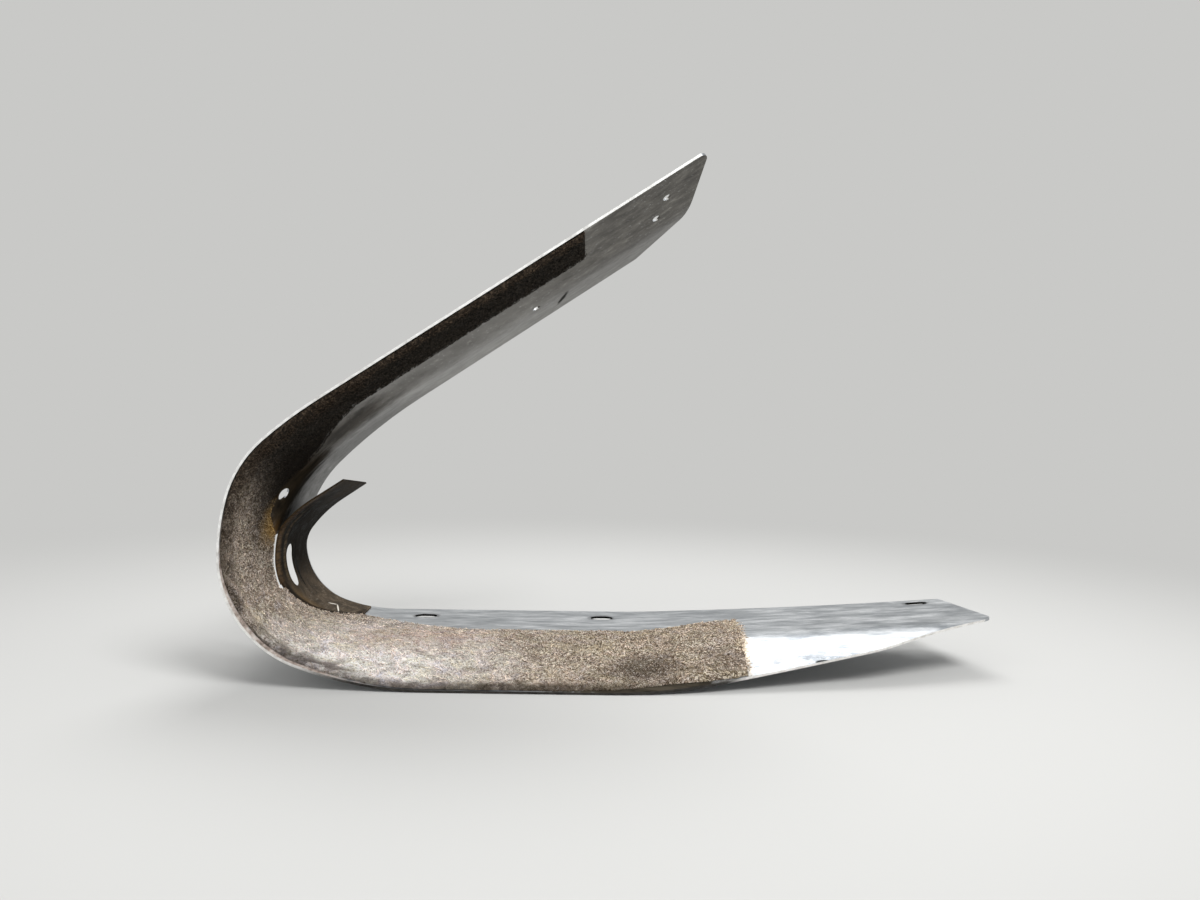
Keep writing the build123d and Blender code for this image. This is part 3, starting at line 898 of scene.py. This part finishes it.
class FAIRING_OT_felt(bpy.types.Operator):
    """Lay the felt chafe strip inside the flare"""

    bl_idname = "fairing.felt"
    bl_label = "Felt strip"

    def execute(self, context):
        """Surface of the run along the strip and the share across it, with noise for the pile.

        Across, a closed loop goes up the near side, over the pile and down the inner side.
        """
        thick = context.scene.fairing_looks.felt_thickness / MM
        run, t, near_edge, inner_edge = strip_layout(FELT_STEP)
        flat = np.zeros_like(run)
        # the edges are ragged by noises, each read along a row of its own
        inner_edge = inner_edge + 0.4 * value_noise(run, flat + 7, 3.0, SEED)
        inner_edge = inner_edge + 0.25 * value_noise(run, flat + 9, 1.3, SEED + 5) - 0.2
        near_edge = near_edge + 0.2 * value_noise(run, flat + 31, 2.0, SEED + 1)

        share = np.linspace(0, 1, FELT_COLUMNS)
        depth = near_edge[:, None] + (inner_edge - near_edge)[:, None] * share[None, :]
        top = thick - PILE_SINK
        for seed, (rise, size) in enumerate(PILE_NOISE, SEED + 2):
            top = top + rise * value_noise(run[:, None], depth, size, seed)
        from_edge = np.minimum(depth - near_edge[:, None], inner_edge[:, None] - depth)
        from_end = np.minimum(run, run[-1] - run)[:, None]
        fall = np.clip(1 - np.minimum(from_edge, from_end) / ROUNDING, 0, 1)
        top = top * np.sqrt(np.clip(1 - ROUNDED_SHARE * fall**2, 0, 1))

        walls = np.linspace(0, 1, SIDE_POINTS)[None, 1:-1]
        height = np.concatenate(
            [top[:, :1] * walls, top, top[:, -1:] * walls[:, ::-1], np.zeros_like(top)], 1
        )
        near, far = (np.repeat(side, walls.size, 1) for side in (depth[:, :1], depth[:, -1:]))
        depths = np.concatenate([near, depth, far, depth[:, ::-1]], 1)
        x, z = sheet_point(squared(t[:, None], depths), depths, GLUE_LINE + height)
        mesh = tube_mesh("felt_strip", placed(x, depths, z))
        finish_piece("felt_strip", mesh, felt_wool(), ["felt_chafe_strip"])
        return {"FINISHED"}


def strand_mesh(name, paths, lifted, radius):
    """Tapered three-sided tubes along many paths (strands, points, 3), built as one mesh.

    Round each point lie three corners: radius times the cosine of their angle to the side, and
    the sine to the way up, where up leads to the lifted copy of the point.
    """
    strands, points = paths.shape[:2]
    along = np.gradient(paths, axis=1)
    up = lifted - paths
    side = np.cross(along, up)
    side /= np.linalg.norm(side, axis=2, keepdims=True)
    up = np.cross(side, along)
    up /= np.linalg.norm(up, axis=2, keepdims=True)
    angle = np.radians([90.0, 210.0, 330.0])
    width = radius[:, None] * np.sin(np.linspace(0.12, 0.92, points) * math.pi)[None, :]
    ring = side[:, :, None] * np.cos(angle)[:, None] + up[:, :, None] * np.sin(angle)[:, None]
    corners = paths[:, :, None] + ring * width[:, :, None, None]
    index = np.arange(strands * points * 3).reshape(strands, points, 3)
    turned = np.roll(index, -1, 2)
    sides = np.stack([index[:, :-1], turned[:, :-1], turned[:, 1:], index[:, 1:]], -1)
    sides = sides.reshape(-1, 4)
    ends = np.concatenate([index[:, 0, ::-1], index[:, -1]])
    faces = sides.tolist() + ends.tolist()
    mesh = bpy.data.meshes.new(name)
    mesh.from_pydata(corners.reshape(-1, 3), [], faces)
    mesh.polygons.foreach_set("use_smooth", np.ones(len(faces), bool))
    return mesh


class FAIRING_OT_pile(bpy.types.Operator):
    """Raise loose wool strands on the felt and along its cut edges"""

    bl_idname = "fairing.pile"
    bl_label = "Loose strands"

    def execute(self, context):
        """Each strand is an arc in run and depth that rises from the pile and comes back to it.

        One in five starts at the inner edge and droops over it to the sheet.
        """
        thick = context.scene.fairing_looks.felt_thickness / MM
        draw = np.random.default_rng(SEED + 20)
        run, t, near_edge, inner_edge = strip_layout(FELT_STEP)
        count = STRAND_COUNT
        start_run = draw.uniform(1, run[-1] - 1, count)
        start_share = draw.uniform(0.02, 0.98, count)
        at_edge = draw.random(count) < SHARE_AT_EDGE
        at_end = draw.random(count) < SHARE_AT_END
        start_run = np.where(at_end, draw.uniform(-0.2, 0.4, count), start_run)
        start_share = np.where(at_edge, 0.985, start_share)
        near = np.interp(start_run, run, near_edge)
        inner = np.interp(start_run, run, inner_edge)
        start_depth = near + (inner - near) * start_share
        heading = draw.uniform(0, 2 * math.pi, count)
        heading = np.where(at_edge, draw.uniform(0.1, 0.9, count) * math.pi, heading)
        bend = draw.uniform(-0.7, 0.7, count)
        length = draw.uniform(*STRAND_LENGTH, count) * np.where(at_edge, 0.45, 1.0)

        step = (np.arange(STRAND_POINTS) / (STRAND_POINTS - 1))[None, :]
        way = heading[:, None] + bend[:, None] * step
        along = start_run[:, None] + length[:, None] * step * np.cos(way)
        depth = start_depth[:, None] + length[:, None] * step * np.sin(way)
        over = depth > np.interp(along, run, inner_edge) - 0.5
        rise = draw.uniform(*STRAND_RISE, count)[:, None] * np.sin(step * math.pi)
        height = np.where(over, thick * (1 - 0.8 * step), thick - 0.1) + rise

        run_t = np.interp(along, run, t)
        _, drawn_z = sheet_point(run_t, depth, GLUE_LINE)
        by_hole = np.exp(-(((drawn_z - NOSE_HOLE_HEIGHT) / NOSE_HOLE_SPAN) ** 2))
        past = 0.9 - 0.7 * by_hole * (run_t > 2)
        nearest = np.interp(along, run, near_edge) + 0.1
        depth = np.clip(depth, nearest, np.interp(along, run, inner_edge) + past)
        run_t = squared(run_t, depth)
        past_end = np.where(along < 0, -along, 0)
        x, z = sheet_point(run_t, depth, GLUE_LINE + height)
        up_x, up_z = sheet_point(run_t, depth, GLUE_LINE + height + 0.2)
        paths, lifted = placed(x + past_end, depth, z), placed(up_x + past_end, depth, up_z)
        radius = draw.uniform(*STRAND_RADIUS, count) * MM
        mesh = strand_mesh("loose_strands", paths, lifted, radius)
        strands = finish_piece("loose_strands", mesh, wool_strands())
        return {"FINISHED"}


class FAIRING_OT_glue(bpy.types.Operator):
    """Squeeze a broken bead of glue out along the felt's inner edge"""

    bl_idname = "fairing.glue"
    bl_label = "Glue bead"

    def execute(self, context):
        """Low half-round bead along the inner edge, in a size that often falls to nothing."""
        run, t, _, inner_edge = strip_layout(GLUE_STEP)
        flat = np.zeros_like(run)
        keep = (t < ARM_RUN) & (run > 1)
        run, t, inner_edge, flat = run[keep], t[keep], inner_edge[keep], flat[keep]
        size = 0.35 * value_noise(run, flat + 3, 9.0, SEED + 8)
        size = size + 0.2 * value_noise(run, flat, 2.0, SEED + 9)
        size = np.clip(size + GLUE_MEAN, *GLUE_SIZES)
        angle = np.linspace(0, math.pi, GLUE_CORNERS)[None, :]
        depth = inner_edge[:, None] + 0.1 - size[:, None] * 1.6 * np.cos(angle)
        height = size[:, None] * 0.7 * np.sin(angle)
        x, z = sheet_point(t[:, None], depth, 0.01 + height)
        under_x, under_z = sheet_point(t[:, None], depth[:, ::-1], 0.005)
        points = np.concatenate([placed(x, depth, z), placed(under_x, depth[:, ::-1], under_z)], 1)
        mesh = tube_mesh("glue_bead", points)
        finish_piece("glue_bead", mesh, dried_glue())
        return {"FINISHED"}


def seen_directly(tree):
    """1 for rays from the camera and from glossy surfaces, and 0 for the rest."""
    path = add_node(tree, "ShaderNodeLightPath")
    return larger(tree, path.outputs["Is Camera Ray"], path.outputs["Is Glossy Ray"])


def make_floor(scene, colour):
    """Plain matt floor under the object's lowest point."""
    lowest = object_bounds()[0][2]
    mesh = bpy.data.meshes.new("floor")
    half = FLOOR_HALF
    corners = [(-half, -half), (half, -half), (half, half), (-half, half)]
    mesh.from_pydata([(*corner, lowest) for corner in corners], [], [(0, 1, 2, 3)])
    material, tree, shader = new_material("matt_floor_paint")
    set_shader(shader, {"Base Color": colour, "Roughness": 0.9, "Specular IOR Level": 0.1})
    # away from the object, the floor shows its plain colour, so that it runs into the backdrop
    far = vector_math(tree, "LENGTH", object_place(tree))["Value"]
    plain = add_node(tree, "ShaderNodeEmission", values={"Color": colour})
    share = times(tree, seen_directly(tree), spread(tree, far, *FLOOR_FADE))
    mix = add_node(
        tree, "ShaderNodeMixShader", links={0: share, 1: shader.outputs[0], 2: plain.outputs[0]}
    )
    tree.links.new(mix.outputs[0], tree.nodes["Material Output"].inputs["Surface"])
    mesh.materials.append(material)
    floor = bpy.data.objects.new("floor", mesh)
    scene.collection.objects.link(floor)
    floor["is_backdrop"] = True


def make_world(scene, colour):
    """White light from all round, behind a backdrop of the floor's colour."""
    world = bpy.data.worlds.new("studio")
    scene.world = world
    world.use_nodes = True
    tree = world.node_tree
    tree.nodes.clear()
    plain = add_node(tree, "ShaderNodeBackground", values={"Color": (1, 1, 1, 1), "Strength": 0.5})
    shown = add_node(tree, "ShaderNodeBackground", values={"Color": colour})
    mix = add_node(
        tree, "ShaderNodeMixShader",
        links={0: seen_directly(tree), 1: plain.outputs[0], 2: shown.outputs[0]},
    )
    add_node(tree, "ShaderNodeOutputWorld", links={"Surface": mix.outputs[0]})


def make_lamps(scene):
    """Round soft lamps that all face the object."""
    for name, place, size, power in LAMPS:
        data = bpy.data.lights.new(name, "AREA")
        data.shape = "DISK"
        data.size = size
        data.energy = power
        lamp = bpy.data.objects.new(name, data)
        lamp.location = place
        aim = Vector(LAMPS_FACE) - Vector(place)
        lamp.rotation_euler = aim.to_track_quat("-Z", "Y").to_euler()
        scene.collection.objects.link(lamp)


def make_camera(scene):
    """Camera that looks along the span, as the photograph does."""
    data = bpy.data.cameras.new("camera")
    data.sensor_width = CAMERA_SENSOR
    data.lens = CAMERA_LENS
    data.shift_y = CAMERA_SHIFT
    data.clip_start, data.clip_end = CAMERA_CLIP
    camera = bpy.data.objects.new("camera", data)
    roll = math.atan(CAMERA_ROLL)
    right = Vector((math.cos(roll), 0, math.sin(roll)))
    up = Vector((-math.sin(roll), 0, math.cos(roll)))
    turn = Matrix((right, up, Vector((0, -1, 0)))).transposed().to_4x4()
    spot = (np.array(CAMERA_PLACE) + DRAWN_ZERO) * MM
    camera.matrix_world = Matrix.Translation(Vector(spot)) @ turn
    scene.collection.objects.link(camera)
    scene.camera = camera


class FAIRING_OT_stage(bpy.types.Operator):
    """Set the floor, the lamps and the camera"""

    bl_idname = "fairing.stage"
    bl_label = "Stage"

    def execute(self, context):
        scene = context.scene
        colour = tuple(scene.fairing_looks.floor_colour) + (1.0,)
        make_floor(scene, colour)
        make_world(scene, colour)
        make_lamps(scene)
        make_camera(scene)
        scene.view_settings.view_transform = "Standard"
        return {"FINISHED"}


class FAIRING_PT_panel(bpy.types.Panel):
    """Sidebar panel that lists the fairing's pieces"""

    bl_label = "Fairing"
    bl_idname = "FAIRING_PT_panel"
    bl_space_type = "VIEW_3D"
    bl_region_type = "UI"
    bl_category = "Fairing"

    def draw(self, context):
        looks = context.scene.fairing_looks
        for key in FairingLooks.__annotations__:
            self.layout.prop(looks, key)
        for step in STEPS:
            self.layout.operator(step.bl_idname)


STEPS = (
    FAIRING_OT_skin,
    FAIRING_OT_doubler,
    FAIRING_OT_felt,
    FAIRING_OT_pile,
    FAIRING_OT_glue,
    FAIRING_OT_stage,
)


def register():
    """Registers the looks, the steps and the panel."""
    for item in (FairingLooks, *STEPS, FAIRING_PT_panel):
        bpy.utils.register_class(item)
    bpy.types.Scene.fairing_looks = bpy.props.PointerProperty(type=FairingLooks)


def unregister():
    """Takes the panel, the steps and the looks away again."""
    del bpy.types.Scene.fairing_looks
    for item in (FAIRING_PT_panel, *reversed(STEPS), FairingLooks):
        bpy.utils.unregister_class(item)


def main():
    """Dresses the frame piece by piece."""
    register()
    bpy.ops.fairing.skin()
    bpy.ops.fairing.doubler()
    bpy.ops.fairing.felt()
    bpy.ops.fairing.pile()
    bpy.ops.fairing.glue()
    bpy.ops.fairing.stage()


if __name__ == "__main__":
    main()
